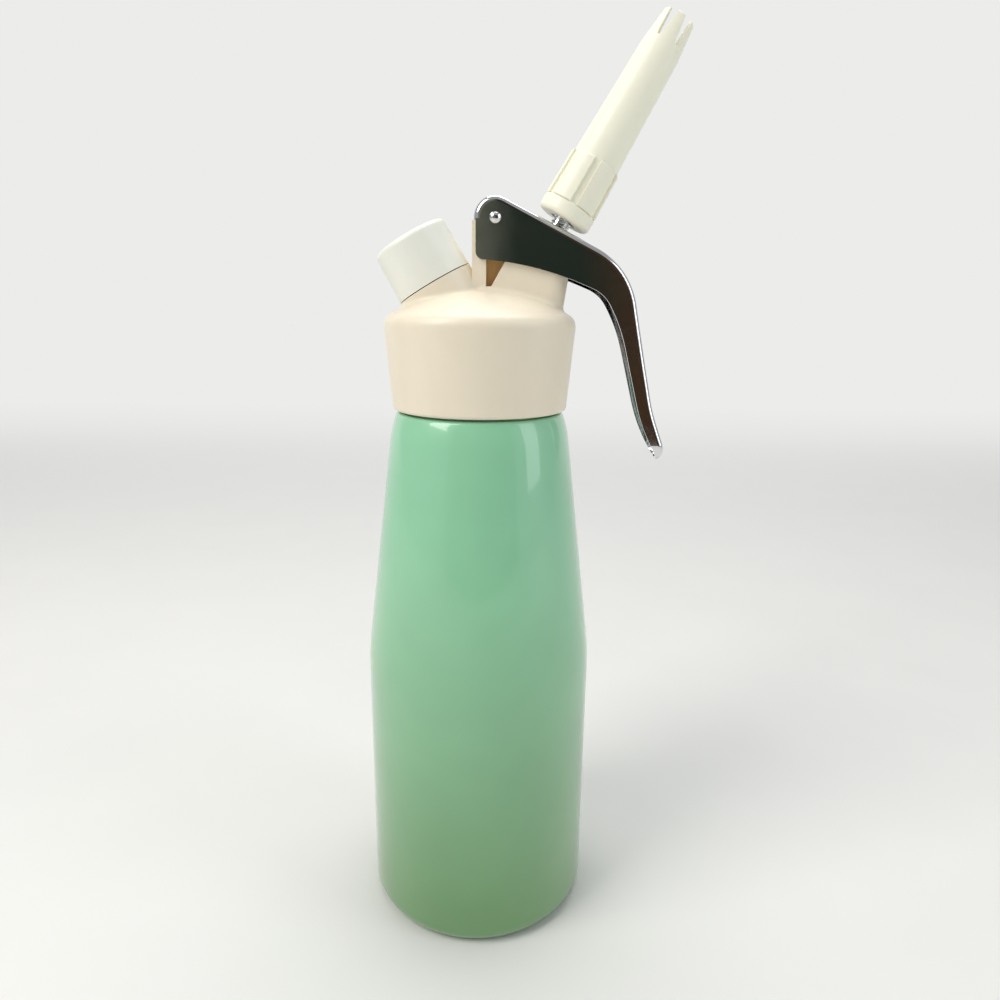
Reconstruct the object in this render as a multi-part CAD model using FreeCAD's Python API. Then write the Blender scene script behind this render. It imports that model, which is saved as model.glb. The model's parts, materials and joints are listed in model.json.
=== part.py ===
import FreeCAD, Part
import math
import os

V = FreeCAD.Vector

# Bottle: an impact-extruded can with a long cone, a round shoulder and a threaded neck
bottle_radius = 40.0
bottle_wall = 1.2
base_corner_radius = 6.0
belly_start_height = 91.0
belly_arc_radius = 100.0
cone_angle = 7.04
shoulder_start_height = 174.0
shoulder_arc_radius = 36.0
shoulder_turn = 14.0
rim_corner_radius = 1.5
neck_radius = 25.0
neck_wall = 2.2
neck_height = 17.0

# Head: a moulded cover with a shallow dome, a charging boss and a narrow valve tower
head_gap = 0.75
head_foot_radius = 29.2
head_flare_angle = 5.0
head_height = 38.8
head_dome_radius = 59.4
head_corner_radius = 4.5
head_foot_fillet = 1.2
chamber_radius = 21.5
chamber_height = 9.0
ring_radius = 27.2
ring_height = 14.0
ring_drop = 0.5
gasket_thickness = 2.5
gasket_inner_radius = 22.0
gasket_outer_radius = 25.7

# Both branches leave one point on the bottle's axis
branch_depth = 24.0
valve_tilt = 30.0
stud_tilt = 30.0

# Valve tower
tower_width = 12.4
tower_root_reach = 4.0
tower_end_radius = 5.6
tower_back_x = 2.5
tower_foot_x = 24.6
tower_root_radius = 2.0
boss_root_radius = 2.0
boss_left = 9.3
boss_right = 9.9
boss_top = 41.0
ear_radius = 5.3
ear_gap = 0.4
ear_notch_x = 2.0
notch_floor_rise = 24.9
notch_roof_rise = 37.0
notch_skin = 2.6
saddle_drop = 2.2

# Lever: sheet bent to a channel, on a riveted pin
pivot_x = 4.8
pivot_rise = 45.5
pin_radius = 1.25
pin_head_radius = 1.75
pin_head_height = 0.9
sheet = 1.0
lever_side_gap = 0.3
lever_corner_radius = 6.8
lever_slope = 26.5
knee_reach = 44.9
knee_radius = 25.2
handle_slope = 77.8
handle_length = 47.5
kick_slope = 69.5
kick_radius = 60.0
kick_length = 15.1
tip_slope = 125.0
tip_radius = 7.4
tip_length = 3.9
handle_half_width = 6.0
taper_top_drop = 22.5
taper_bottom_drop = 41.5
taper_radius = 200.0
bend_radius = 2.0
rear_lip = 0.7
wrap_drop = 0.3

# The cheek's free edge: corners measured from the pivot, with the radius at each
cheek_corners = [(-12.3, 2.4), (-13.6, 100.0), (-22.5, 12.0), (-33.1, 55.0), (-65.1, 60.0)]
cheek_offsets = [-6.1, 12.9, 35.1, 41.1, 49.4]

# Valve: sleeve, hollow stem, spring, collar and seals, by distance along the tilted axis
guide_foot = 13.0
guide_flange = 15.0
guide_top = 40.6
guide_radius = 5.0
guide_flange_radius = 6.8
spring_floor = 33.4
spring_room_radius = 4.2
stem_radius = 2.5
stem_top_radius = 3.2
stem_bore_radius = 1.6
stem_foot = 7.6
stem_cap_thickness = 4.0
stem_hole_rise = 7.0
stem_hole_radius = 1.0
flange_floor = 44.2
flange_radius = 4.0
flange_thickness = 1.0
collar_radius = 5.3
collar_dome_radius = 11.0
collar_height = 3.25
seal_radius = 4.4
seal_thickness = 2.0
seal_nut_thickness = 2.0
oring_floor = 27.0
oring_height = 2.0
oring_radius = 3.9
spring_wire = 0.8
spring_coil_radius = 3.5
spring_turns = 5

# Nozzle: tapered decorating tip
nozzle_gap = 3.15
nozzle_length = 66.4
nozzle_hold = 7.8
nozzle_collar_radius = 8.9
nozzle_collar_height = 4.5
nozzle_collar_fillet = 1.5
nozzle_step_radius = 0.5
nozzle_root_radius = 0.3
nozzle_waist_round = 18.0
nozzle_lip_share = 0.55
nozzle_core_radius = 8.2
nozzle_waist_depth = 11.0
nozzle_waist_radius = 6.45
nozzle_tip_radius = 5.2
nozzle_mouth_radius = 3.95
nozzle_wall = 1.6
pad_height = 0.75
pad_gap = 0.4
pad_length = 14.7
pad_count = 6
pad_angle = 44.0
prong_count = 6
prong_length = 8.5
slot_floor_width = 1.3
slot_top_width = 3.0
insert_depth = 0.6
insert_radius = 6.0
nozzle_seal_thickness = 1.0
nozzle_seal_radius = 4.4
nozzle_throat_radius = 2.6

# Charging branch: threaded stud with needle, seal, washer and nut, under a screw cap
stud_seat = 29.5
stud_washer_thickness = 1.0
stud_washer_radius = 8.4
stud_radius = 9.5
stud_top = 42.6
stud_shank_radius = 6.0
stud_foot = 12.0
stud_socket_radius = 5.0
stud_socket_floor = 34.0
stud_tip_radius = 2.4
stud_tip_foot = 9.0
gas_channel_radius = 0.8
gas_port = 10.6
gas_port_radius = 0.6
sleeve_wall = 0.8
sleeve_length = 2.6
nut_radius = 7.4
nut_height = 2.4
spot_face = 15.0
spot_face_radius = 7.7
needle_radius = 1.5
needle_seat_depth = 4.0
needle_length = 2.3
needle_bore_radius = 0.4
charger_seal_thickness = 1.6
charger_seal_gap = 0.1
cap_foot = 29.8
cap_foot_radius = 12.9
cap_top_radius = 12.5
cap_height = 16.4
cap_corner_radius = 1.8
liner_thickness = 1.4
liner_radius = 9.0
boss_radius = 12.9

# Clearances between pieces that move on each other
thread_clearance = 0.08
pin_clearance = 0.05
sliding_clearance = 0.06
face_gap = 0.05
seat_gap = 0.3

# Heights and points that follow from the sizes above
half_tower = tower_width / 2
cheek_inside = half_tower + lever_side_gap
cheek_outside = cheek_inside + sheet
flange_top = flange_floor + flange_thickness
nozzle_foot = flange_top + collar_height + sheet + nozzle_gap
nozzle_tip = nozzle_foot + nozzle_length
nozzle_waist = nozzle_tip - nozzle_waist_depth
nozzle_slot_floor = nozzle_tip - prong_length
pad_floor = nozzle_foot + nozzle_collar_height + pad_gap
pad_top = pad_floor + pad_length
insert_floor = nozzle_foot + insert_depth
stem_top = nozzle_foot + nozzle_hold


def point(x, z):
    return V(x, 0, z)


def toward(angle, length):
    """A step of this length at this angle above +X, in the XZ plane."""
    return point(length * math.cos(math.radians(angle)), length * math.sin(math.radians(angle)))


def arc_about(centre, radius, start, end):
    middle = (start + end) / 2
    marks = [centre + toward(angle, radius) for angle in (start, middle, end)]
    return Part.Arc(*marks).toShape()


def line(start, end):
    return Part.LineSegment(start, end).toShape()


def crossing(point_a, way_a, point_b, way_b):
    """Where two lines in the XZ plane meet."""
    turn = way_a.x * way_b.z - way_a.z * way_b.x
    gap = point_b - point_a
    reach = (gap.x * way_b.z - gap.z * way_b.x) / turn
    return point_a + way_a * reach


def rounded_path(corners, radii):
    """Edges along the corners, with an arc of the given radius at each inner corner."""
    edges = []
    here = corners[0]
    for before, corner, after, radius in zip(corners, corners[1:], corners[2:], radii):
        back = (before - corner).normalize()
        ahead = (after - corner).normalize()
        half = back.getAngle(ahead) / 2
        if radius > 0:
            reach = radius / math.tan(half)
            start = corner + back * reach
            end = corner + ahead * reach
            inward = (back + ahead).normalize()
            middle = corner + inward * (radius / math.sin(half) - radius)
            edges.append(line(here, start))
            edges.append(Part.Arc(start, middle, end).toShape())
            here = end
        else:
            edges.append(line(here, corner))
            here = corner
    edges.append(line(here, corners[-1]))
    return edges


def closed_face(edges):
    wire = Part.Wire(Part.__sortEdges__(edges))
    return Part.Face(wire)


def polygon_face(corners):
    return Part.Face(Part.makePolygon(corners + [corners[0]]))


def spun(face):
    """A solid of revolution about the Z axis."""
    return face.revolve(V(0, 0, 0), V(0, 0, 1), 360)


def spun_polygon(corners):
    return spun(polygon_face([point(x, z) for x, z in corners]))


def ring(inner, outer, floor, height):
    tube = Part.makeCylinder(outer, height, V(0, 0, floor))
    return tube.cut(Part.makeCylinder(inner, height, V(0, 0, floor)))


def rod(radius, floor, top):
    return Part.makeCylinder(radius, top - floor, V(0, 0, floor))


def across(face, half_width):
    """A face in the XZ plane made into a plate of twice the half width."""
    plate = face.extrude(V(0, 2 * half_width, 0))
    plate.translate(V(0, -half_width, 0))
    return plate


def hexagon(radius, floor, height):
    """A six-sided prism that fits inside the radius."""
    corners = []
    for side in range(6):
        angle = math.radians(60 * side)
        corners.append(V(radius * math.cos(angle), radius * math.sin(angle), floor))
    return polygon_face(corners).extrude(V(0, 0, height))


# Bottle

cone_turn = cone_angle + shoulder_turn
belly_centre = point(bottle_radius - belly_arc_radius, belly_start_height)
cone_start = belly_centre + toward(cone_angle, belly_arc_radius)
cone_way = toward(90 + cone_angle, 1)
cone_end = cone_start + cone_way * ((shoulder_start_height - cone_start.z) / cone_way.z)
shoulder_centre = cone_end - toward(cone_angle, shoulder_arc_radius)
rim_centre = shoulder_centre + toward(cone_turn, shoulder_arc_radius - rim_corner_radius)
ledge = rim_centre.z + rim_corner_radius
neck_top = ledge + neck_height


def bottle_solid(skin, neck, floor, top):
    """The bottle's outer form, or its hollow when skin is the wall."""
    corner = point(bottle_radius - base_corner_radius, base_corner_radius)
    low = point(corner.x, floor)
    side = point(bottle_radius - skin, base_corner_radius)
    belly = point(bottle_radius - skin, belly_start_height)
    cone_low = belly_centre + toward(cone_angle, belly_arc_radius - skin)
    cone_high = shoulder_centre + toward(cone_angle, shoulder_arc_radius - skin)
    shelf = point(rim_centre.x, ledge - skin)
    neck_low = point(neck, ledge - skin)
    edges = [
        line(point(0, floor), low),
        arc_about(corner, base_corner_radius - skin, -90, 0),
        line(side, belly),
        arc_about(belly_centre, belly_arc_radius - skin, 0, cone_angle),
        line(cone_low, cone_high),
        arc_about(shoulder_centre, shoulder_arc_radius - skin, cone_angle, cone_turn),
        arc_about(rim_centre, rim_corner_radius - skin, cone_turn, 90),
        line(shelf, neck_low),
        line(neck_low, point(neck, top)),
        line(point(neck, top), point(0, top)),
        line(point(0, top), point(0, floor)),
    ]
    return spun(closed_face(edges))


def make_bottle():
    outer = bottle_solid(0, neck_radius, 0, neck_top)
    inner = bottle_solid(bottle_wall, neck_radius - neck_wall, bottle_wall, neck_top + 1)
    return outer.cut(inner)


# Head

head_foot = ledge + head_gap
head_crown = head_foot + head_height
gasket_floor = neck_top
gasket_top = gasket_floor + gasket_thickness
chamber_roof = gasket_top + chamber_height
branch_height = head_crown - branch_depth
branch_point = point(0, branch_height)
valve_way = toward(90 - valve_tilt, 1)
valve_side = toward(-valve_tilt, 1)
pivot = branch_point + point(pivot_x, pivot_rise)


def on_valve(side, along):
    """A point in the XZ plane, given across and along the valve's axis."""
    return branch_point + valve_side * side + valve_way * along


def on_branch(shape, angle):
    """Tilts a shape made along Z onto a branch of the head."""
    placed = shape.copy()
    placed.rotate(V(0, 0, 0), V(0, 1, 0), angle)
    placed.translate(branch_point)
    return placed


def on_valve_axis(shape):
    return on_branch(shape, valve_tilt)


def on_stud_axis(shape):
    return on_branch(shape, -stud_tilt)


def circle_edges(shape, height, tolerance=0.01):
    """Edges that lie level at this height."""
    found = []
    for edge in shape.Edges:
        box = edge.BoundBox
        if abs(box.ZMin - height) < tolerance and abs(box.ZMax - height) < tolerance:
            found.append(edge)
    return found


def head_shell():
    """The outer form of the cover: flared side under a shallow dome."""
    flare = math.tan(math.radians(head_flare_angle))
    dome_centre = head_crown - head_dome_radius
    radius = head_foot_radius
    for _ in range(20):
        height = dome_centre + math.sqrt(head_dome_radius ** 2 - radius ** 2)
        radius = head_foot_radius + (height - head_foot) * flare
    lean = math.degrees(math.asin(radius / head_dome_radius))
    edges = [
        line(point(0, head_foot), point(head_foot_radius, head_foot)),
        line(point(head_foot_radius, head_foot), point(radius, height)),
        arc_about(point(0, dome_centre), head_dome_radius, 90 - lean, 90),
        line(point(0, head_crown), point(0, head_foot)),
    ]
    shell = spun(closed_face(edges))
    shell = shell.makeFillet(head_corner_radius, circle_edges(shell, height))
    return shell.makeFillet(head_foot_fillet, circle_edges(shell, head_foot))


def tower_profile():
    """Side view of the tower: ear round the pivot, saddle, and valve boss."""
    ear_back = pivot.x - ear_radius
    root = branch_height
    boss_corner = on_valve(boss_right, boss_top)
    saddle = on_valve(-boss_left, boss_top)
    lean = toward(-valve_tilt, ear_radius)
    back = -tower_back_x
    step = pivot.z - wrap_drop - ear_gap
    edges = [
        line(point(back, root), point(back, step)),
        line(point(back, step), point(ear_back, step)),
        line(point(ear_back, step), point(ear_back, pivot.z)),
        arc_about(pivot, ear_radius, 180, -30),
        line(pivot + lean, saddle - valve_way * saddle_drop),
        line(saddle - valve_way * saddle_drop, saddle + valve_side * saddle_drop),
        line(saddle + valve_side * saddle_drop, boss_corner),
        line(boss_corner, point(tower_foot_x, root)),
        line(point(tower_foot_x, root), point(back, root)),
    ]
    return closed_face(edges)


def tower_body():
    """The narrow tower, round at its front end and cored out beside the ear."""
    tower = across(tower_profile(), half_tower)
    front = []
    boss_corner = on_valve(boss_right, boss_top)
    for edge in tower.Edges:
        middle = edge.CenterOfMass
        low = edge.BoundBox.ZMin
        slanted = abs(middle.x - (boss_corner.x + tower_foot_x) / 2) < 0.1
        if slanted and abs(abs(middle.y) - half_tower) < 0.01 and low < branch_height + 1:
            front.append(edge)
    tower = tower.makeFillet(tower_end_radius, front)
    return tower.cut(notch_body())


def notch_body():
    """The pocket between the ear and the boss, on both flanks."""
    floor = branch_height + notch_floor_rise
    roof = branch_height + notch_roof_rise
    edge_low = crossing(point(0, floor), point(1, 0), on_valve(-boss_left, 0), valve_way)
    edge_high = crossing(point(0, roof), point(1, 0), on_valve(-boss_left, 0), valve_way)
    outline = [point(ear_notch_x, floor), edge_low, edge_high, point(ear_notch_x, roof)]
    pocket = across(polygon_face(outline), tower_width)
    web = across(polygon_face(outline), notch_skin / 2)
    return pocket.cut(web)


def on_dome(edge):
    """True for an edge that lies on the dome's surface."""
    centre = point(0, head_crown - head_dome_radius)
    ends = [edge.valueAt(place) for place in edge.ParameterRange]
    return all(abs(end.distanceToPoint(centre) - head_dome_radius) < 0.02 for end in ends)


def moulded_cover():
    """Shell, boss and tower in one, with rounded roots on the dome."""
    boss = on_stud_axis(rod(boss_radius, chamber_height, stud_seat))
    cover = head_shell().fuse(boss).removeSplitter()
    least_top = chamber_roof + boss_radius / 2
    root = [edge for edge in cover.Edges if on_dome(edge) and edge.BoundBox.ZMax > least_top]
    root = [edge for edge in root if edge.BoundBox.YLength > boss_radius]
    cover = cover.makeFillet(boss_root_radius, root)
    cover = cover.fuse(tower_body()).removeSplitter()
    root = [edge for edge in cover.Edges if on_dome(edge) and abs(edge.CenterOfMass.y) > half_tower / 3]
    reach = tower_foot_x + tower_root_reach
    root = [edge for edge in root if edge.BoundBox.YLength < half_tower and edge.BoundBox.XMax < reach]
    widest = half_tower + pin_clearance
    root = [edge for edge in root if abs(edge.CenterOfMass.y) < widest and edge.Length > tower_root_reach]
    return cover.makeFillet(tower_root_radius, root)


def make_head():
    solid = moulded_cover()
    ring_floor = neck_top - ring_drop - ring_height
    hollows = [
        rod(ring_radius - 1, head_foot - 1, neck_top),
        rod(ring_radius, ring_floor, ring_floor + ring_height),
        rod(gasket_outer_radius + seat_gap, neck_top - ring_drop, gasket_top + face_gap),
        rod(chamber_radius, head_foot - 1, chamber_roof),
        on_valve_axis(rod(guide_radius, guide_foot, guide_top)),
        on_valve_axis(rod(spring_room_radius, guide_top - 1, boss_top + 1)),
        on_valve_axis(rod(guide_flange_radius + seat_gap, stem_foot, guide_flange)),
        on_stud_axis(rod(stud_shank_radius + pin_clearance, stud_foot, stud_seat + 1)),
        on_stud_axis(rod(spot_face_radius, stud_tip_foot, spot_face)),
        pivot_rod(pin_radius, tower_width),
    ]
    return solid.cut(hollows).removeSplitter()


def pivot_rod(radius, half_length):
    start = pivot - V(0, half_length, 0)
    return Part.makeCylinder(radius, 2 * half_length, start, V(0, 1, 0))


def make_thread_ring():
    floor = neck_top - ring_drop - ring_height
    return ring(neck_radius + thread_clearance, ring_radius, floor, ring_height)


def make_head_gasket():
    return ring(gasket_inner_radius, gasket_outer_radius, gasket_floor, gasket_thickness)


# Charging branch

def make_charging_stud():
    body = rod(stud_radius, stud_seat + stud_washer_thickness, stud_top)
    body = body.makeFillet(gas_channel_radius, circle_edges(body, stud_top))
    shank = rod(stud_shank_radius, stud_foot, stud_seat + stud_washer_thickness)
    tip = rod(stud_tip_radius, stud_tip_foot, stud_foot)
    stud = body.fuse([shank, tip])
    needle_foot = stud_socket_floor - needle_seat_depth
    port_start = V(-stud_tip_radius, 0, gas_port)
    port = Part.makeCylinder(gas_port_radius, 2 * stud_tip_radius, port_start, V(1, 0, 0))
    stud = stud.cut([
        rod(stud_socket_radius, stud_socket_floor, stud_top + 1),
        rod(needle_radius, needle_foot, stud_socket_floor),
        rod(gas_channel_radius, gas_port, needle_foot),
        port,
    ])
    return on_stud_axis(stud)


def make_piercing_needle():
    foot = stud_socket_floor - needle_seat_depth
    shoulder = stud_socket_floor + needle_bore_radius
    tip = stud_socket_floor + needle_length
    outline = [
        (0, foot),
        (needle_radius, foot),
        (needle_radius, shoulder),
        (needle_radius * 0.66, shoulder + needle_bore_radius),
        (needle_bore_radius * 1.5, tip),
        (0, tip),
    ]
    needle = spun_polygon(outline)
    return on_stud_axis(needle.cut(rod(needle_bore_radius, foot, tip)))


def make_charger_seal():
    inner = needle_radius + charger_seal_gap
    outer = stud_socket_radius - charger_seal_gap
    return on_stud_axis(ring(inner, outer, stud_socket_floor, charger_seal_thickness))


def make_stud_washer():
    return on_stud_axis(ring(stud_shank_radius, stud_washer_radius, stud_seat, stud_washer_thickness))


def make_stud_nut():
    nut = hexagon(nut_radius, spot_face - nut_height, nut_height)
    return on_stud_axis(nut.cut(rod(stud_shank_radius, stud_foot, spot_face)))


def make_check_valve_sleeve():
    outer = stud_tip_radius + sleeve_wall
    return on_stud_axis(ring(stud_tip_radius, outer, stud_foot - sleeve_length, sleeve_length))


cap_room_top = stud_top + face_gap + liner_thickness + face_gap
cap_top = cap_foot + cap_height


def make_charging_cap():
    outline = [
        point(0, cap_foot),
        point(cap_foot_radius, cap_foot),
        point(cap_top_radius, cap_top),
        point(0, cap_top),
    ]
    cap = spun(polygon_face(outline))
    cap = cap.makeFillet(cap_corner_radius, circle_edges(cap, cap_top))
    room = rod(stud_radius + thread_clearance, cap_foot - 1, cap_room_top)
    return on_stud_axis(cap.cut(room))


def make_cap_liner():
    return on_stud_axis(rod(liner_radius, stud_top + face_gap, cap_room_top - face_gap))


# Valve

def make_valve_guide():
    sleeve = rod(guide_radius, guide_foot, guide_top)
    flange = hexagon(guide_flange_radius, guide_foot, guide_flange - guide_foot)
    guide = sleeve.fuse(flange).cut([
        rod(stem_radius + sliding_clearance, guide_foot - 1, guide_top),
        rod(spring_room_radius, spring_floor, guide_top + 1),
        rod(oring_radius, oring_floor, oring_floor + oring_height),
    ])
    return on_valve_axis(guide)


def make_stem_oring():
    return on_valve_axis(ring(stem_radius + sliding_clearance, oring_radius, oring_floor, oring_height))


seal_top = guide_foot - face_gap
seal_floor = seal_top - seal_thickness
seal_nut_floor = seal_floor - seal_nut_thickness


def make_valve_stem():
    stem = rod(stem_radius, stem_foot, flange_floor)
    flange = rod(flange_radius, flange_floor, flange_top)
    neck = rod(stem_top_radius, flange_top, stem_top)
    stem = stem.fuse([flange, neck])
    hole_height = stem_foot + stem_hole_rise
    cuts = [rod(stem_bore_radius, stem_foot + stem_cap_thickness, stem_top + 1)]
    for side in (V(1, 0, 0), V(0, 1, 0)):
        start = V(0, 0, hole_height) - side * stem_top_radius
        cuts.append(Part.makeCylinder(stem_hole_radius, 2 * stem_top_radius, start, side))
    return on_valve_axis(stem.cut(cuts))


def make_valve_seal():
    return on_valve_axis(ring(stem_radius, seal_radius, seal_floor, seal_thickness))


def make_seal_nut():
    nut = hexagon(seal_radius, seal_nut_floor, seal_nut_thickness)
    return on_valve_axis(nut.cut(rod(stem_radius, seal_nut_floor, seal_floor)))


def make_press_collar():
    """A ring with a domed top, so that the tilting lever rolls over it."""
    top = flange_top + collar_height
    centre = top - math.sqrt(collar_dome_radius ** 2 - stem_top_radius ** 2)
    start = math.degrees(math.acos(collar_radius / collar_dome_radius))
    end = math.degrees(math.acos(stem_top_radius / collar_dome_radius))
    shoulder = centre + collar_dome_radius * math.sin(math.radians(start))
    edges = [
        line(point(stem_top_radius, flange_top), point(collar_radius, flange_top)),
        line(point(collar_radius, flange_top), point(collar_radius, shoulder)),
        arc_about(point(0, centre), collar_dome_radius, start, end),
        line(point(stem_top_radius, top), point(stem_top_radius, flange_top)),
    ]
    return on_valve_axis(spun(closed_face(edges)))


def helix_point(turn, radius, pitch, floor):
    angle = 2 * math.pi * turn
    return V(radius * math.cos(angle), radius * math.sin(angle), floor + pitch * turn)


def helix_way(turn, radius, pitch):
    angle = 2 * math.pi * turn
    climb = pitch / (2 * math.pi)
    return V(-radius * math.sin(angle), radius * math.cos(angle), climb).normalize()


def tangent_arc(start, knee, end):
    """The arc that touches both legs of an even-sided corner."""
    middle = (start + end) / 2
    lean = math.atan2((knee - middle).Length, (end - start).Length / 2)
    share = math.tan(lean / 2) / math.tan(lean)
    return Part.Arc(start, middle + (knee - middle) * share, end).toShape()


def biarc(start, start_way, end, end_way):
    """Two arcs that leave one point and reach the next along the given ways."""
    gap = end - start
    ways = start_way + end_way
    a = 2 * (1 - start_way.dot(end_way))
    b = 2 * gap.dot(ways)
    reach = (-b + math.sqrt(b * b + 4 * a * gap.dot(gap))) / (2 * a)
    first = start + start_way * reach
    second = end - end_way * reach
    joint = (first + second) / 2
    return [tangent_arc(start, first, joint), tangent_arc(joint, second, end)]


def make_valve_spring():
    radius = spring_wire / 2
    floor = spring_floor + face_gap + radius
    top = flange_floor - face_gap - radius
    pitch = (top - floor) / spring_turns
    print("spring: least gap between turns %.2f mm" % (pitch - spring_wire))
    edges = []
    steps = 4 * spring_turns
    for step in range(steps):
        ends = (step / 4, (step + 1) / 4)
        places = [helix_point(turn, spring_coil_radius, pitch, floor) for turn in ends]
        ways = [helix_way(turn, spring_coil_radius, pitch) for turn in ends]
        edges += biarc(places[0], ways[0], places[1], ways[1])
    path = Part.Wire(edges)
    wire_way = helix_way(0, spring_coil_radius, pitch)
    section = Part.Wire(Part.makeCircle(radius, edges[0].Vertexes[0].Point, wire_way))
    shell = Part.BRepOffsetAPI.MakePipeShell(path)
    shell.add(section)
    shell.build()
    shell.makeSolid()
    return on_valve_axis(shell.shape())


# Nozzle

seal_seat = stem_top + face_gap + nozzle_seal_thickness + face_gap


def core_radius(along):
    """Outer radius of the nozzle's cone at a distance along the axis."""
    share = (along - pad_floor) / (nozzle_waist - pad_floor)
    return nozzle_core_radius + (nozzle_waist_radius - nozzle_core_radius) * share


def nozzle_outer():
    corners = [
        point(0, nozzle_foot),
        point(nozzle_collar_radius, nozzle_foot),
        point(nozzle_collar_radius, nozzle_foot + nozzle_collar_height),
        point(nozzle_core_radius, pad_floor),
        point(nozzle_waist_radius, nozzle_waist),
        point(nozzle_tip_radius, nozzle_tip),
        point(0, nozzle_tip),
    ]
    lip = (nozzle_tip_radius - nozzle_mouth_radius) * nozzle_lip_share
    radii = [nozzle_collar_fillet, nozzle_step_radius, nozzle_root_radius, nozzle_waist_round, lip]
    edges = rounded_path(corners, radii)
    edges.append(line(corners[-1], corners[0]))
    return spun(closed_face(edges))


def nozzle_hollow():
    """Insert pocket, seal seat, throat and tapering bore."""
    throat_top = seal_seat + nozzle_wall
    cone_top = throat_top + 2 * nozzle_wall
    corners = [
        (0, nozzle_foot - 1),
        (stem_top_radius + 1, nozzle_foot - 1),
        (stem_top_radius + 1, insert_floor),
        (insert_radius, insert_floor),
        (insert_radius, stem_top),
        (nozzle_seal_radius + seat_gap, stem_top),
        (nozzle_seal_radius + seat_gap, seal_seat),
        (nozzle_throat_radius, seal_seat),
        (nozzle_throat_radius, throat_top),
        (core_radius(cone_top) - nozzle_wall, cone_top),
        (nozzle_waist_radius - nozzle_wall, nozzle_waist),
        (nozzle_mouth_radius, nozzle_tip),
        (nozzle_mouth_radius, nozzle_tip + 1),
        (0, nozzle_tip + 1),
    ]
    return spun_polygon(corners)


def grip_pad():
    sink = nozzle_wall / 2
    corners = [
        point(core_radius(pad_floor) - sink, pad_floor),
        point(core_radius(pad_floor) + pad_height, pad_floor),
        point(core_radius(pad_top) + pad_height, pad_top),
        point(core_radius(pad_top) - sink, pad_top),
    ]
    edges = rounded_path(corners, [0.3, 0.5])
    edges.append(line(corners[-1], corners[0]))
    pad = closed_face(edges).revolve(V(0, 0, 0), V(0, 0, 1), pad_angle)
    pad.rotate(V(0, 0, 0), V(0, 0, 1), -pad_angle / 2)
    return pad


def prong_slot():
    """A slot right across the tip, wider at the top, with a round floor."""
    reach = nozzle_collar_radius
    low = slot_floor_width / 2
    high = slot_top_width / 2
    floor = nozzle_slot_floor
    corners = [
        V(-reach, -high, nozzle_tip),
        V(-reach, -low, floor + low),
        V(-reach, low, floor + low),
        V(-reach, high, nozzle_tip),
    ]
    above = [V(-reach, high, nozzle_tip + 1), V(-reach, -high, nozzle_tip + 1)]
    edges = [
        line(corners[0], corners[1]),
        Part.Arc(corners[1], V(-reach, 0, floor), corners[2]).toShape(),
        line(corners[2], corners[3]),
        line(corners[3], above[0]),
        line(above[0], above[1]),
        line(above[1], corners[0]),
    ]
    return closed_face(edges).extrude(V(2 * reach, 0, 0))


def turned(shape, angle):
    copy = shape.copy()
    copy.rotate(V(0, 0, 0), V(0, 0, 1), angle)
    return copy


def make_nozzle():
    pads = [turned(grip_pad(), 360 / pad_count * number) for number in range(pad_count)]
    body = nozzle_outer().fuse(pads)
    half_pitch = 180 / prong_count
    slots = [turned(prong_slot(), 2 * half_pitch * number) for number in range(prong_count // 2)]
    body = body.cut([nozzle_hollow()] + slots)
    return on_valve_axis(body)


def make_nozzle_insert():
    bore = stem_top_radius + thread_clearance
    return on_valve_axis(ring(bore, insert_radius, insert_floor, stem_top - insert_floor))


def make_nozzle_seal():
    floor = stem_top + face_gap
    return on_valve_axis(ring(stem_bore_radius, nozzle_seal_radius, floor, nozzle_seal_thickness))


# Lever

def web_corners(inset):
    """Corners of the lever's back, moved inwards by the inset."""
    back_x = pivot.x - lever_corner_radius + inset
    slope_way = toward(-lever_slope, 1)
    handle_way = toward(-handle_slope, 1)
    kick_way = toward(-kick_slope, 1)
    tip_way = toward(-tip_slope, 1)
    normal = toward(90 - lever_slope, 1)
    foot = pivot + normal * lever_corner_radius
    knee = foot + slope_way * knee_reach
    kick = knee + handle_way * handle_length
    toe = kick + kick_way * kick_length
    end = toe + tip_way * tip_length
    places = [foot, knee, kick, toe]
    ways = [slope_way, handle_way, kick_way, tip_way]
    moved = [place + toward_inside(way) * inset for place, way in zip(places, ways)]
    start = point(back_x, pivot.z - wrap_drop)
    corners = [start, crossing(start, point(0, 1), moved[0], slope_way)]
    for number in range(1, 4):
        corners.append(crossing(moved[number - 1], ways[number - 1], moved[number], ways[number]))
    corners.append(end + toward_inside(tip_way) * inset)
    return corners


def toward_inside(way):
    """The side of the back on which the channel is open."""
    return V(way.z, 0, -way.x)


def web_radii(inset):
    return [
        lever_corner_radius - inset,
        knee_radius - inset,
        kick_radius + inset,
        tip_radius - inset,
    ]


def side_face():
    """Side view of the whole lever: back, tip and the cheek's free edge."""
    corners = web_corners(0)
    free = [pivot + point(x, rise[0]) for x, rise in zip(cheek_offsets, cheek_corners)]
    rear = point(corners[0].x + rear_lip, corners[0].z)
    radii = [rise[1] for rise in cheek_corners]
    path = [rear] + free + [corners[-1]]
    edges = rounded_path(corners, web_radii(0))
    edges += rounded_path(path, radii)
    edges.append(line(corners[0], rear))
    return closed_face(edges)


def sheet_corners(inset):
    """The back's corners, run on past the tip so that the bend goes round the tip."""
    corners = web_corners(inset)
    last = corners[-1]
    return corners[:-1] + [last + (last - corners[-2]).normalize() * tip_radius]


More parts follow.
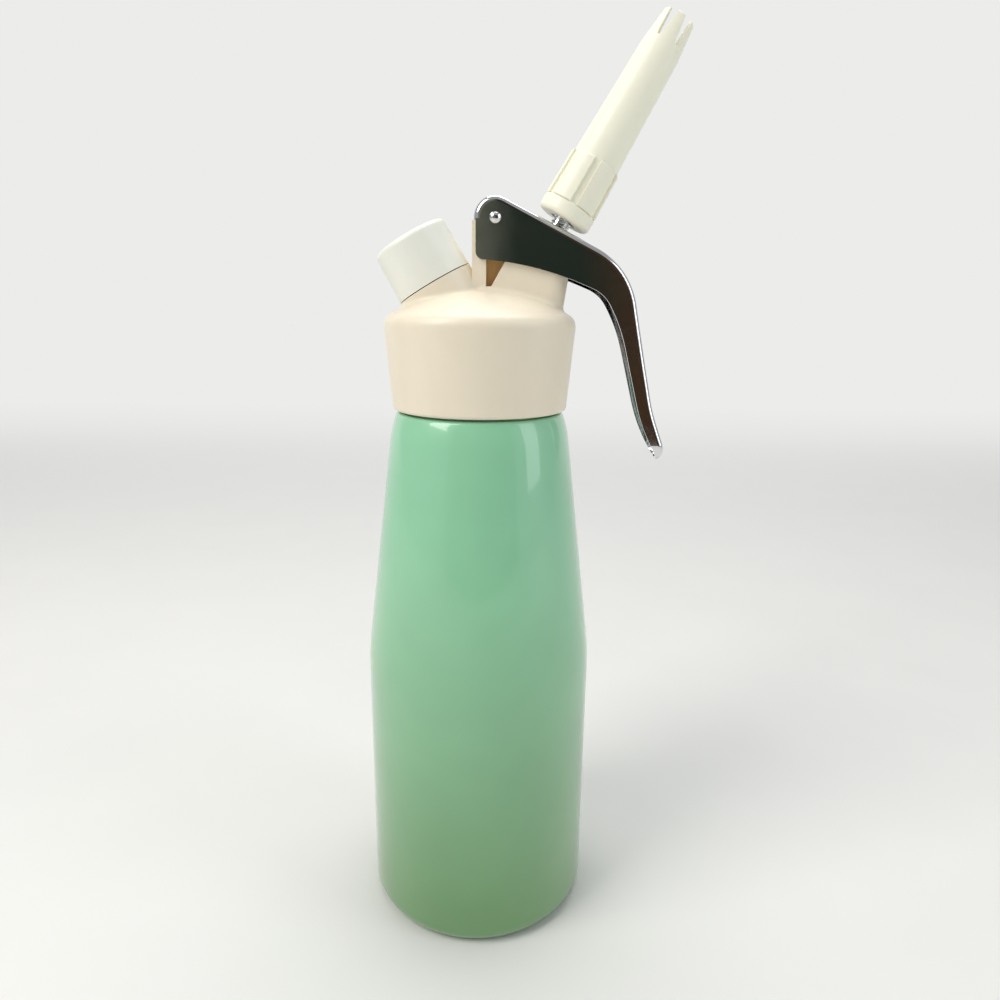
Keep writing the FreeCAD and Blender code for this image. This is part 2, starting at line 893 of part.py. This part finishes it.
def channel_face(inset):
    """Side view of everything under the back, far past the cheeks' free edge."""
    corners = sheet_corners(inset)
    last = corners[-1]
    low = point(last.x - handle_length, last.z - lever_corner_radius)
    rear = point(corners[0].x - knee_reach, corners[0].z)
    rear_low = point(rear.x, low.z)
    edges = rounded_path(corners, web_radii(inset))
    edges += [line(last, low), line(low, rear_low), line(rear_low, rear), line(rear, corners[0])]
    return closed_face(edges)


def width_prism(inset):
    """Front view of the lever: wide over the tower, narrow and round-ended at the grip."""
    wide = cheek_outside - inset
    narrow = handle_half_width - inset
    tip = web_corners(0)[-1].z + inset
    shoulder = pivot.z - taper_top_drop
    waist = pivot.z - taper_bottom_drop
    top = pivot.z + 2 * lever_corner_radius
    reach = 2 * knee_reach
    left = [
        V(-reach, -narrow, tip + narrow),
        V(-reach, -narrow, waist),
        V(-reach, -wide, shoulder),
        V(-reach, -wide, top),
    ]
    right = [V(corner.x, -corner.y, corner.z) for corner in reversed(left)]
    edges = rounded_path(left, [taper_radius, taper_radius])
    edges.append(line(left[-1], right[0]))
    edges += rounded_path(right, [taper_radius, taper_radius])
    edges.append(Part.Arc(right[-1], V(-reach, 0, tip), left[0]).toShape())
    return closed_face(edges).extrude(V(2 * reach, 0, 0))


def bent_body(inset):
    """The full body under the back, with the bends between back and cheeks rounded."""
    body = across(channel_face(inset), 2 * cheek_outside).common(width_prism(inset))
    body = body.removeSplitter()
    back = Part.Wire(rounded_path(sheet_corners(inset), web_radii(inset)))
    bends = []
    for edge in body.Edges:
        marks = [edge.valueAt(place) for place in edge.ParameterRange]
        marks.append(edge.valueAt(sum(edge.ParameterRange) / 2))
        level = [Part.Vertex(point(mark.x, mark.z)) for mark in marks]
        follows = all(back.distToShape(vertex)[0] < 0.02 for vertex in level)
        if follows and abs(marks[-1].y) > 2 * sheet:
            bends.append(edge)
    return body.makeFillet(bend_radius - inset, bends)


def stem_slot():
    """The slot in the lever's back, longer on the side to which the stem drifts."""
    radius = stem_top_radius + seat_gap + 2 * pin_clearance
    drift = 1.2
    floor = flange_top
    height = nozzle_foot - floor
    round_end = Part.makeCylinder(radius, height, V(0, 0, floor))
    far_end = Part.makeCylinder(radius, height, V(-drift, 0, floor))
    middle = Part.makeBox(drift, 2 * radius, height, V(-drift, -radius, floor))
    return on_valve_axis(round_end.fuse([far_end, middle]))


def make_lever():
    side = across(side_face(), 2 * cheek_outside)
    lever = bent_body(0).common(side).cut(bent_body(sheet))
    return lever.cut([stem_slot(), pivot_rod(pin_radius + pin_clearance, 2 * cheek_outside)])


def make_lever_pin():
    """A rivet with a low dome on each end."""
    side = cheek_outside + 2 * pin_clearance
    rivet = pivot_rod(pin_radius, side)
    dome_radius = (pin_head_radius ** 2 + pin_head_height ** 2) / (2 * pin_head_height)
    lean = math.degrees(math.asin(pin_head_radius / dome_radius))
    centre = point(0, pin_head_height - dome_radius)
    edges = [
        arc_about(centre, dome_radius, 90 - lean, 90),
        line(point(0, pin_head_height), point(0, 0)),
        line(point(0, 0), point(pin_head_radius, 0)),
    ]
    head = spun(closed_face(edges))
    heads = []
    for way, angle in ((1, -90), (-1, 90)):
        placed = head.copy()
        placed.rotate(V(0, 0, 0), V(1, 0, 0), angle)
        placed.translate(pivot + V(0, way * side, 0))
        heads.append(placed)
    return rivet.fuse(heads)


def export(name, shape):
    if not shape.isValid():
        print(name, "is not valid")
    shape.exportStep("parts/" + name + ".step")
    print("%-20s solids %d  volume %.1f mm3" % (name, len(shape.Solids), shape.Volume))


os.makedirs("parts", exist_ok=True)
pieces = {
    "bottle": make_bottle,
    "head_gasket": make_head_gasket,
    "head": make_head,
    "thread_ring": make_thread_ring,
    "charging_stud": make_charging_stud,
    "piercing_needle": make_piercing_needle,
    "charger_seal": make_charger_seal,
    "stud_washer": make_stud_washer,
    "stud_nut": make_stud_nut,
    "check_valve_sleeve": make_check_valve_sleeve,
    "charging_cap": make_charging_cap,
    "cap_liner": make_cap_liner,
    "valve_guide": make_valve_guide,
    "stem_oring": make_stem_oring,
    "valve_stem": make_valve_stem,
    "valve_seal": make_valve_seal,
    "seal_nut": make_seal_nut,
    "press_collar": make_press_collar,
    "valve_spring": make_valve_spring,
    "nozzle": make_nozzle,
    "nozzle_insert": make_nozzle_insert,
    "nozzle_seal": make_nozzle_seal,
    "lever": make_lever,
    "lever_pin": make_lever_pin,
}
for piece_name, maker in pieces.items():
    export(piece_name, maker())
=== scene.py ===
import bpy
import json
import math
from mathutils import Matrix, Vector


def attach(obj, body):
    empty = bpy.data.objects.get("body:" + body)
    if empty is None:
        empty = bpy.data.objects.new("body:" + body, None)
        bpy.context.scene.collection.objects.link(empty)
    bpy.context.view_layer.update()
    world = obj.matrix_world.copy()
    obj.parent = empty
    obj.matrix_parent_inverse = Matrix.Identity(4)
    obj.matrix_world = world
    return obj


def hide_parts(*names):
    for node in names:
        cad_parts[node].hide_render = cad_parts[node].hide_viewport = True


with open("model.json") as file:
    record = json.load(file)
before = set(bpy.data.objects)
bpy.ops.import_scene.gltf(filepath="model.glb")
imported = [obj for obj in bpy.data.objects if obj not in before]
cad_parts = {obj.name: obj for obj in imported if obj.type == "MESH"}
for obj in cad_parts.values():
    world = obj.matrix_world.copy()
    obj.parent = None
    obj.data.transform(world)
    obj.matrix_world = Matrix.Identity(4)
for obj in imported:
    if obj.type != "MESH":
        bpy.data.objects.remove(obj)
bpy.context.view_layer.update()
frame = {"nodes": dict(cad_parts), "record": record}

MM = 0.001

# Sizes shared with the part, in millimetres and degrees
branch_height = 199.024
branch_tilt = 30.0
neck_top = 200.474
ledge = 183.474
bottle_radius = 40.0
bottle_wall = 1.2
base_corner_radius = 6.0
belly_start_height = 91.0
belly_arc_radius = 100.0
cone_angle = 7.04
shoulder_start_height = 174.0
shoulder_arc_radius = 36.0
shoulder_end_angle = 21.04
rim_corner_radius = 1.5
neck_radius = 25.0
neck_bore_radius = 22.8
stud_radius = 9.5
stud_top = 42.6
stud_seat = 30.5
stud_edge_radius = 0.8
stud_shank_radius = 6.0
stud_shank_foot = 12.0
stud_tip_radius = 2.4
stud_tip_foot = 9.0
stud_socket_radius = 5.0
stud_socket_floor = 34.0
needle_hole_radius = 1.5
needle_hole_floor = 30.0
gas_channel_radius = 0.8
stem_radius = 2.5
stem_foot = 7.6
stem_bore_floor = 11.6
stem_bore_radius = 1.6
stem_top_radius = 3.2
stem_top = 60.4
flange_floor = 44.2
flange_top = 45.2
flange_radius = 4.0

# The axis itself: a lathe point this far out closes an outline
axis_radius = 0.01

# Where the lacquer ends: above the ledge, and inward of the bottle's side
lacquer_rise = 0.6
lacquer_depth = 0.8

# Threads: low end, high end, pitch, depth and radius of each
neck_thread = (ledge + 1.2, neck_top - 0.9, 3.0, 1.15, neck_radius)
cap_thread = (31.4, 42.3, 2.0, 0.85, stud_radius)
stud_nut_thread = (12.6, 24.0, 1.0, 0.4, stud_shank_radius)
nozzle_thread = (48.8, 60.0, 1.0, 0.42, stem_top_radius)
seal_nut_thread = (8.2, 12.7, 0.8, 0.3, stem_radius)
nozzle_thread_rows = (48.6, 60.0)
seal_nut_thread_rows = (8.1, 12.9)
thread_crest = 0.22
crest_and_root = 1.6
same_radius = 0.01

# The tower's side pocket: where its painted warm glow starts and ends along each axis, in millimetres
pocket_left = (1.7, 2.2)
pocket_right = (10.0, 10.5)
pocket_floor = (222.0, 223.5)
pocket_roof = (236.0, 236.5)
pocket_side = (4.6, 5.4)

# Colours of the photographed object, as display values from 0 to 255
mint = (141, 203, 163)
# Painted shade: the lacquer's darker colour low on the bottle, and the heights in millimetres over which
# it fades into the plain mint
mint_painted_shade = (100, 146, 92)
painted_shade_rise = (15, 150)
cream = (240, 229, 207)
cool_white = (240, 241, 230)
ivory = (248, 246, 226)
# Painted light: a warm glow standing in for light through the thin web in the tower's side pocket
pocket_painted_glow = (236, 200, 134)
chrome_tint = (226, 227, 228)
steel_tint = (188, 186, 180)
rubber_black = (38, 38, 40)
silicone_red = (178, 52, 44)
liner_grey = (214, 214, 208)
ring_silver = (200, 201, 204)
floor_tone = (232, 231, 228)
backdrop_tone = (236, 236, 235)
flag_pale = (128, 128, 114)
flag_dark = (44, 52, 44)
flag_warm = (84, 62, 46)


def linear(colour, alpha=1.0):
    """Display colour to the linear colour that shaders use."""
    out = []
    for channel in colour:
        value = channel / 255
        out.append(value / 12.92 if value <= 0.04045 else ((value + 0.055) / 1.055) ** 2.4)
    return (*out, alpha)


def shade(colour, factor):
    return tuple(min(255, channel * factor) for channel in colour)


# Materials

class Shader:
    """A node material with short helpers for noise, ramps and bumps."""

    def __init__(self, name):
        self.material = bpy.data.materials.new(name)
        self.material.use_nodes = True
        self.nodes = self.material.node_tree.nodes
        self.links = self.material.node_tree.links
        self.main = self.nodes["Principled BSDF"]
        self.place = self.nodes.new("ShaderNodeTexCoord").outputs["Object"]

    def set(self, **values):
        for name, value in values.items():
            self.main.inputs[name.replace("_", " ")].default_value = value

    def scaled(self, scale):
        mapping = self.nodes.new("ShaderNodeMapping")
        mapping.inputs["Scale"].default_value = scale
        self.links.new(self.place, mapping.inputs["Vector"])
        return mapping.outputs["Vector"]

    def noise(self, size_mm, detail=3.0, stretch=(1, 1, 1)):
        """Noise whose features are about this many millimetres wide."""
        node = self.nodes.new("ShaderNodeTexNoise")
        node.inputs["Scale"].default_value = 1 / (size_mm * MM)
        node.inputs["Detail"].default_value = detail
        self.links.new(self.scaled(stretch), node.inputs["Vector"])
        return node.outputs["Fac"]

    def along(self, axis):
        """The place on the object along one axis, in metres."""
        split = self.nodes.new("ShaderNodeSeparateXYZ")
        self.links.new(self.place, split.inputs["Vector"])
        return split.outputs[axis]

    def spread(self, value, low, high, out_low, out_high):
        node = self.nodes.new("ShaderNodeMapRange")
        names = ("From Min", "From Max", "To Min", "To Max")
        for name, number in zip(names, (low, high, out_low, out_high)):
            node.inputs[name].default_value = number
        self.links.new(value, node.inputs["Value"])
        return node.outputs["Result"]

    def rising(self, axis, ends):
        """From 0 to 1 between two places along an axis, in millimetres."""
        return self.spread(self.along(axis), ends[0] * MM, ends[1] * MM, 0.0, 1.0)

    def falling(self, axis, ends):
        """From 1 to 0 between two places along an axis, in millimetres."""
        return self.spread(self.along(axis), ends[0] * MM, ends[1] * MM, 1.0, 0.0)

    def patches(self, noise, low=0.3, high=0.7):
        """Noise drawn out to the whole range from 0 to 1."""
        return self.spread(noise, low, high, 0.0, 1.0)

    def product(self, value_a, value_b):
        node = self.nodes.new("ShaderNodeMath")
        node.operation = "MULTIPLY"
        self.links.new(value_a, node.inputs[0])
        self.links.new(value_b, node.inputs[1])
        return node.outputs["Value"]

    def blend(self, factor, colour_a, colour_b):
        node = self.nodes.new("ShaderNodeMix")
        node.data_type = "RGBA"
        for socket, colour in ((node.inputs[6], colour_a), (node.inputs[7], colour_b)):
            if isinstance(colour, tuple):
                socket.default_value = colour
            else:
                self.links.new(colour, socket)
        self.links.new(factor, node.inputs[0])
        return node.outputs[2]

    def colour(self, value):
        self.links.new(value, self.main.inputs["Base Color"])

    def roughness(self, value):
        self.links.new(value, self.main.inputs["Roughness"])

    def bumps(self, *layers):
        """Layers of (height value, depth in millimetres), each over the one before."""
        normal = None
        for value, depth in layers:
            node = self.nodes.new("ShaderNodeBump")
            node.inputs["Distance"].default_value = depth * MM
            self.links.new(value, node.inputs["Height"])
            if normal:
                self.links.new(normal, node.inputs["Normal"])
            normal = node.outputs["Normal"]
        self.links.new(normal, self.main.inputs["Normal"])


def lacquer():
    """Gloss lacquer on pressed aluminium: deep colour under a clear coat with faint orange peel, darkened
    towards the base by painted shade.
    """
    s = Shader("mint_lacquer")
    s.set(Coat_Weight=0.9, Coat_Roughness=0.045)
    # Painted shade: the colour darkens towards the base, where less light falls
    clear_of_painted_shade = s.rising("Z", painted_shade_rise)
    body = s.blend(clear_of_painted_shade, linear(mint_painted_shade), linear(mint))
    tint = s.blend(clear_of_painted_shade, linear(shade(mint_painted_shade, 1.04)), linear(shade(mint, 1.04)))
    s.colour(s.blend(s.patches(s.noise(38, 2)), body, tint))
    s.roughness(s.spread(s.noise(45, 1), 0.0, 1.0, 0.27, 0.35))
    s.bumps((s.noise(14, 0), 0.02))
    return s.material


def painted_glow_mask(s):
    """1 on the thin web in the tower's side pocket, where a painted warm glow stands in for light through
    the plastic.
    """
    side = s.along("Y")
    least, most = ((limit * MM) ** 2 for limit in pocket_side)
    inside = s.spread(s.product(side, side), least, most, 1.0, 0.0)
    across = s.product(s.rising("X", pocket_left), s.falling("X", pocket_right))
    upright = s.product(s.rising("Z", pocket_floor), s.falling("Z", pocket_roof))
    return s.product(s.product(inside, across), upright)


def moulded(name, colour, roughness, grain=0.01, with_pocket_glow=False):
    """Moulded plastic: fine grain, faint flow marks and slight see-through, and where asked a painted
    warm glow in the tower's side pocket.
    """
    s = Shader(name)
    s.set(Subsurface_Weight=0.06, Subsurface_Scale=0.002)
    flow = s.patches(s.noise(14, 3, (1, 1, 0.35)))
    skin = s.blend(flow, linear(shade(colour, 0.985)), linear(shade(colour, 1.01)))
    # Painted light: the pocket's web takes a warm glow colour in place of light through the plastic
    s.colour(s.blend(painted_glow_mask(s), skin, linear(pocket_painted_glow)) if with_pocket_glow else skin)
    s.roughness(s.spread(s.noise(3, 4), 0.3, 0.7, roughness - 0.05, roughness + 0.06))
    s.bumps((s.noise(0.5, 2), grain), (s.noise(11, 2), 0.03))
    return s.material


def chrome(name, wave=0.02):
    """Bright plating: faint press waves, finger smears and fine wipe marks."""
    s = Shader(name)
    s.set(Metallic=1.0)
    smear = s.noise(7, 5)
    smeared = s.patches(smear, 0.4, 0.7)
    s.colour(s.blend(smeared, linear(chrome_tint), linear(shade(chrome_tint, 0.95))))
    s.roughness(s.spread(smear, 0.35, 0.75, 0.035, 0.11))
    s.bumps((s.noise(9, 1), wave), (s.noise(0.35, 2, (1, 1, 6)), 0.0006))
    return s.material


def turned_metal(name, colour, roughness):
    """Machined metal with fine tool marks."""
    s = Shader(name)
    s.set(Metallic=1.0)
    marks = s.noise(0.3, 3, (0.2, 0.2, 3.0))
    s.colour(s.blend(s.patches(s.noise(4, 3)), linear(colour), linear(shade(colour, 0.9))))
    s.roughness(s.spread(marks, 0.3, 0.7, roughness - 0.07, roughness + 0.08))
    s.bumps((marks, 0.004))
    return s.material


def soft_rubber(name, colour):
    """Moulded rubber with a dusty, dull skin."""
    s = Shader(name)
    dust = s.patches(s.noise(2, 4), 0.35, 0.65)
    s.colour(s.blend(dust, linear(colour), linear(shade(colour, 1.25))))
    s.roughness(s.spread(s.noise(1.2, 3), 0.3, 0.7, 0.55, 0.72))
    s.bumps((s.noise(0.4, 3), 0.012))
    return s.material


finish = {
    "lacquer": lacquer(),
    "cream_plastic": moulded("cream_plastic", cream, 0.36, with_pocket_glow=True),
    "white_plastic": moulded("white_plastic", cool_white, 0.34),
    "ivory_plastic": moulded("ivory_plastic", ivory, 0.4, grain=0.008),
    "liner_plastic": moulded("liner_plastic", liner_grey, 0.5),
    "mirror_chrome": chrome("mirror_chrome"),
    "chrome_parts": chrome("chrome_parts", wave=0.004),
    "nickel_steel": turned_metal("nickel_steel", steel_tint, 0.3),
    "needle_steel": turned_metal("needle_steel", steel_tint, 0.22),
    "spring_steel": turned_metal("spring_steel", steel_tint, 0.26),
    "ring_aluminium": turned_metal("ring_aluminium", ring_silver, 0.34),
    "black_rubber": soft_rubber("black_rubber", rubber_black),
    "silicone_red": soft_rubber("silicone_red", silicone_red),
}

slot_of = {part["node"]: part["material_slot"] for part in frame["record"]["subparts"]}
for node, piece in frame["nodes"].items():
    piece.data.materials.clear()
    piece.data.materials.append(finish[slot_of[node]])


# Turned pieces with real screw threads

def row(start, end, count):
    """Points from start to end, without the end."""
    points = []
    for step in range(count):
        points.append(tuple(a + (b - a) * step / count for a, b in zip(start, end)))
    return points


def bow(centre, radius, start, end, count):
    """Points on an arc, angles in degrees above the outward direction."""
    points = []
    for step in range(count + 1):
        angle = math.radians(start + (end - start) * step / count)
        points.append((centre[0] + radius * math.cos(angle), centre[1] + radius * math.sin(angle)))
    return points


def thread_form(turn):
    """Depth from 0 on the crest to 1 in the root of a thread."""
    distance = abs(turn - math.floor(turn) - 0.5) * 2
    return min(1.0, max(0.0, (distance - thread_crest) / (1 - crest_and_root * thread_crest)))


def thread_cut(radius, height, angle, threads):
    """How deep the threads cut at a point of the outline. They fade out at their ends."""
    cut = 0.0
    for low, high, pitch, depth, thread_radius in threads:
        if abs(radius - thread_radius) < same_radius and low < height < high:
            fade = min(1.0, (height - low) / pitch, (high - height) / pitch)
            cut = depth * fade * thread_form(height / pitch - angle / (2 * math.pi))
    return cut


def lathe_points(outline, threads, tilt, around):
    lean = Matrix.Rotation(math.radians(tilt), 4, "Y")
    if tilt:
        lean = Matrix.Translation((0, 0, branch_height)) @ lean
    points = []
    for radius, height in outline:
        for step in range(around):
            angle = 2 * math.pi * step / around
            reach = radius - thread_cut(radius, height, angle, threads)
            place = Vector((reach * math.cos(angle), reach * math.sin(angle), height))
            points.append(tuple(lean @ place * MM))
    return points


def lathe_faces(rows, around):
    """Faces from each row of points to the next, and from the last row to the first."""
    faces = []
    for line in range(rows):
        below = line * around
        above = (line + 1) % rows * around
        for step in range(around):
            after = (step + 1) % around
            faces.append((below + step, below + after, above + after, above + step))
    return faces


def linked(name, mesh):
    piece = bpy.data.objects.new(name, mesh)
    bpy.context.collection.objects.link(piece)
    return piece


def turned(name, outline, threads, tilt, material_name, body, around=144):
    """A lathe form with its threads, on the bottle's axis or on a branch's axis."""
    mesh = bpy.data.meshes.new(name)
    mesh.from_pydata(lathe_points(outline, threads, tilt, around), [], lathe_faces(len(outline), around))
    mesh.validate()
    piece = linked(name, mesh)
    mesh.materials.append(finish[material_name])
    mesh.shade_smooth()
    mesh.set_sharp_from_angle(angle=math.radians(38))
    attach(piece, body)
    return piece


def shoulder_centre():
    """Centre of the shoulder's arc, which the cone under it touches."""
    lean = math.radians(cone_angle)
    belly_x = bottle_radius - belly_arc_radius
    low_x = belly_x + belly_arc_radius * math.cos(lean)
    low_z = belly_start_height + belly_arc_radius * math.sin(lean)
    length = (shoulder_start_height - low_z) / math.cos(lean)
    across = low_x - length * math.sin(lean) - shoulder_arc_radius * math.cos(lean)
    return (across, shoulder_start_height - shoulder_arc_radius * math.sin(lean))


def bottle_line(skin):
    """The bottle's side from its base to its ledge, moved in by the skin."""
    side_radius = bottle_radius - skin
    corner = (bottle_radius - base_corner_radius, base_corner_radius)
    side = bow(corner, base_corner_radius - skin, -90, 0, 12)
    side += row((side_radius, base_corner_radius), (side_radius, belly_start_height), 12)[1:]
    belly = (bottle_radius - belly_arc_radius, belly_start_height)
    side += bow(belly, belly_arc_radius - skin, 0, cone_angle, 8)
    shoulder = shoulder_centre()
    side += bow(shoulder, shoulder_arc_radius - skin, cone_angle, shoulder_end_angle, 10)
    reach = shoulder_arc_radius - rim_corner_radius
    turn = math.radians(shoulder_end_angle)
    rim = (shoulder[0] + reach * math.cos(turn), shoulder[1] + reach * math.sin(turn))
    return side + bow(rim, rim_corner_radius - skin, shoulder_end_angle, 90, 6)[1:]


def bare_metal(face):
    """The neck and the inside have no lacquer."""
    radius = math.hypot(face.center.x, face.center.y) / MM
    inward = face.normal.xy.dot(face.center.xy) < -0.0001
    inside = radius < bottle_radius - lacquer_depth and inward
    return face.center.z > (ledge + lacquer_rise) * MM or inside


def bottle():
    edge = neck_top - 0.4
    outline = [(axis_radius, 0.0)] + bottle_line(0.0)
    outline += row((neck_radius, ledge), (neck_radius, edge), 96)
    outline += [(neck_radius, edge), (neck_radius - 0.4, neck_top)]
    outline += [(neck_bore_radius + 0.3, neck_top), (neck_bore_radius, neck_top - 0.3)]
    outline += [(neck_bore_radius, ledge - bottle_wall)]
    outline += bottle_line(bottle_wall)[::-1] + [(axis_radius, bottle_wall)]
    piece = turned("bottle_shell", outline, [neck_thread], 0, "lacquer", "bottle_body")
    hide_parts("bottle")
    piece.data.materials.append(finish["ring_aluminium"])
    for face in piece.data.polygons:
        if bare_metal(face):
            face.material_index = 1


def stud():
    shank = stud_shank_radius
    outline = [(gas_channel_radius, stud_tip_foot), (stud_tip_radius, stud_tip_foot)]
    outline += [(stud_tip_radius, stud_shank_foot), (shank, stud_shank_foot)]
    outline += row((shank, stud_shank_foot + 0.4), (shank, stud_seat - 1.1), 120)
    outline += [(shank, stud_seat), (stud_radius - 0.6, stud_seat), (stud_radius, stud_seat + 0.6)]
    outline += row((stud_radius, stud_seat + 0.7), (stud_radius, stud_top - 0.6), 110)
    edge = (stud_radius - stud_edge_radius, stud_top - stud_edge_radius)
    outline += bow(edge, stud_edge_radius, 0, 90, 5)
    outline += [(stud_socket_radius + 0.3, stud_top), (stud_socket_radius, stud_top - 0.3)]
    outline += [(stud_socket_radius, stud_socket_floor), (needle_hole_radius, stud_socket_floor)]
    outline += [(needle_hole_radius, needle_hole_floor), (gas_channel_radius, needle_hole_floor)]
    threads = [cap_thread, stud_nut_thread]
    piece = turned("stud_turned", outline, threads, -branch_tilt, "nickel_steel", "head_body")
    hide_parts("charging_stud")


def stem():
    outline = [(axis_radius, stem_foot), (stem_radius - 0.4, stem_foot), (stem_radius, stem_foot + 0.4)]
    low, high = seal_nut_thread_rows
    outline += row((stem_radius, low), (stem_radius, high), 40)
    outline += [(stem_radius, flange_floor), (flange_radius, flange_floor)]
    outline += [(flange_radius, flange_top), (stem_top_radius, flange_top)]
    low, high = nozzle_thread_rows
    outline += row((stem_top_radius, low), (stem_top_radius, high), 110)
    outline += [(stem_top_radius, stem_top - 0.3), (stem_top_radius - 0.3, stem_top)]
    outline += [(stem_bore_radius, stem_top), (stem_bore_radius, stem_bore_floor)]
    outline += [(axis_radius, stem_bore_floor)]
    threads = [nozzle_thread, seal_nut_thread]
    piece = turned("stem_turned", outline, threads, branch_tilt, "chrome_parts", "valve_body", 96)
    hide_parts("valve_stem")


bottle()
stud()
stem()


# Stage, in metres

floor_front = -0.9
floor_curve_steps = 24
subject = (0.0, 0.0, 0.16)
backdrop_start = (250, 1200)
flag_left_edge = (-240, -120)
flag_right_edge = (0, 120)


def sweep(width, depth, height, radius):
    """A floor that curves up into a backdrop without a corner."""
    outline = [(floor_front, 0.0), (depth - radius, 0.0)]
    for step in range(1, floor_curve_steps + 1):
        angle = math.radians(90 * step / floor_curve_steps)
        outline.append((depth - radius + radius * math.sin(angle), radius - radius * math.cos(angle)))
    outline.append((depth, height))
    points = [(side * width / 2, y, z) for y, z in outline for side in (-1, 1)]
    faces = [(2 * i, 2 * i + 1, 2 * i + 3, 2 * i + 2) for i in range(len(outline) - 1)]
    mesh = bpy.data.meshes.new("sweep")
    mesh.from_pydata(points, [], faces)
    mesh.shade_smooth()
    piece = linked("sweep", mesh)
    mesh.materials.append(floor_finish())


def floor_finish():
    """Matt pale paper with faint cloudiness."""
    s = Shader("pale_floor")
    s.set(Roughness=0.75)
    s.colour(s.blend(s.patches(s.noise(60, 2)), linear(floor_tone), linear(shade(floor_tone, 0.992))))
    s.bumps((s.noise(1.5, 3), 0.02))
    backdrop_glow(s)
    return s.material


def backdrop_glow(s):
    """Far behind the object the backdrop shows as plain pale paper to the camera and in gloss."""
    path = s.nodes.new("ShaderNodeLightPath")
    seen = s.nodes.new("ShaderNodeMath")
    seen.operation = "MAXIMUM"
    s.links.new(path.outputs["Is Camera Ray"], seen.inputs[0])
    s.links.new(path.outputs["Is Glossy Ray"], seen.inputs[1])
    share = s.product(s.rising("Y", backdrop_start), seen.outputs["Value"])
    glow = s.nodes.new("ShaderNodeEmission")
    glow.inputs["Color"].default_value = linear(backdrop_tone)
    mix = s.nodes.new("ShaderNodeMixShader")
    s.links.new(share, mix.inputs["Fac"])
    s.links.new(s.main.outputs["BSDF"], mix.inputs[1])
    s.links.new(glow.outputs["Emission"], mix.inputs[2])
    s.links.new(mix.outputs["Shader"], s.nodes["Material Output"].inputs["Surface"])


def lamp(name, place, size, power, colour=(1, 1, 1)):
    """A soft square lamp that points at the object."""
    data = bpy.data.lights.new(name, "AREA")
    data.shape = "RECTANGLE"
    data.size, data.size_y = size
    data.energy = power
    data.color = colour
    piece = linked(name, data)
    piece.location = place
    piece.rotation_euler = (Vector(subject) - Vector(place)).to_track_quat("-Z", "Y").to_euler()


def flag_finish(name):
    """Pale at its left, dark in its middle and warm at its right."""
    s = Shader(name)
    s.set(Roughness=0.9, Specular_IOR_Level=0.0)
    left = s.blend(s.rising("X", flag_left_edge), linear(flag_pale), linear(flag_dark))
    s.colour(s.blend(s.rising("X", flag_right_edge), left, linear(flag_warm)))
    return s.material


def dark_card(name, place, size):
    """A studio flag: only glossy surfaces see it, and it takes no light away."""
    x, z = size[0] / 2, size[1] / 2
    mesh = bpy.data.meshes.new(name)
    mesh.from_pydata([(-x, 0, -z), (x, 0, -z), (x, 0, z), (-x, 0, z)], [], [(0, 1, 2, 3)])
    piece = linked(name, mesh)
    piece.location = place
    mesh.materials.append(flag_finish(name))
    piece.visible_camera = False
    piece.visible_diffuse = False
    piece.visible_shadow = False
    piece.visible_transmission = False


def world_light(strength):
    world = bpy.data.worlds.new("studio")
    world.use_nodes = True
    background = world.node_tree.nodes["Background"]
    background.inputs["Color"].default_value = (0.95, 0.97, 1.0, 1.0)
    background.inputs["Strength"].default_value = strength
    bpy.context.scene.world = world


def camera(eye, pitch, roll, lens):
    """The photo's camera: its place in millimetres, angles in degrees."""
    data = bpy.data.cameras.new("camera")
    data.lens = lens
    data.sensor_width = 36
    data.clip_start = 0.01
    piece = linked("camera", data)
    tilt = Matrix.Rotation(math.radians(90 - pitch), 4, "X") @ Matrix.Rotation(math.radians(roll), 4, "Z")
    piece.matrix_world = Matrix.Translation(Vector(eye) * MM) @ tilt
    bpy.context.scene.camera = piece


sweep(width=5.0, depth=1.6, height=2.6, radius=0.6)
lamp("key", place=(-0.7, -0.45, 0.95), size=(0.55, 0.8), power=8.0, colour=(1.0, 0.98, 0.94))
lamp("fill", place=(0.95, -0.35, 0.55), size=(0.4, 0.9), power=2.3, colour=(0.93, 0.98, 1.0))
lamp("top", place=(0.05, 0.25, 1.15), size=(0.8, 0.5), power=5.0)
dark_card("front_flag", place=(0.15, -1.1, 0.42), size=(1.9, 1.3))
world_light(0.42)
camera(eye=(7.2, -249.0, 216.5), pitch=14.55, roll=0.6, lens=26.28)
bpy.context.scene.view_settings.view_transform = "Standard"
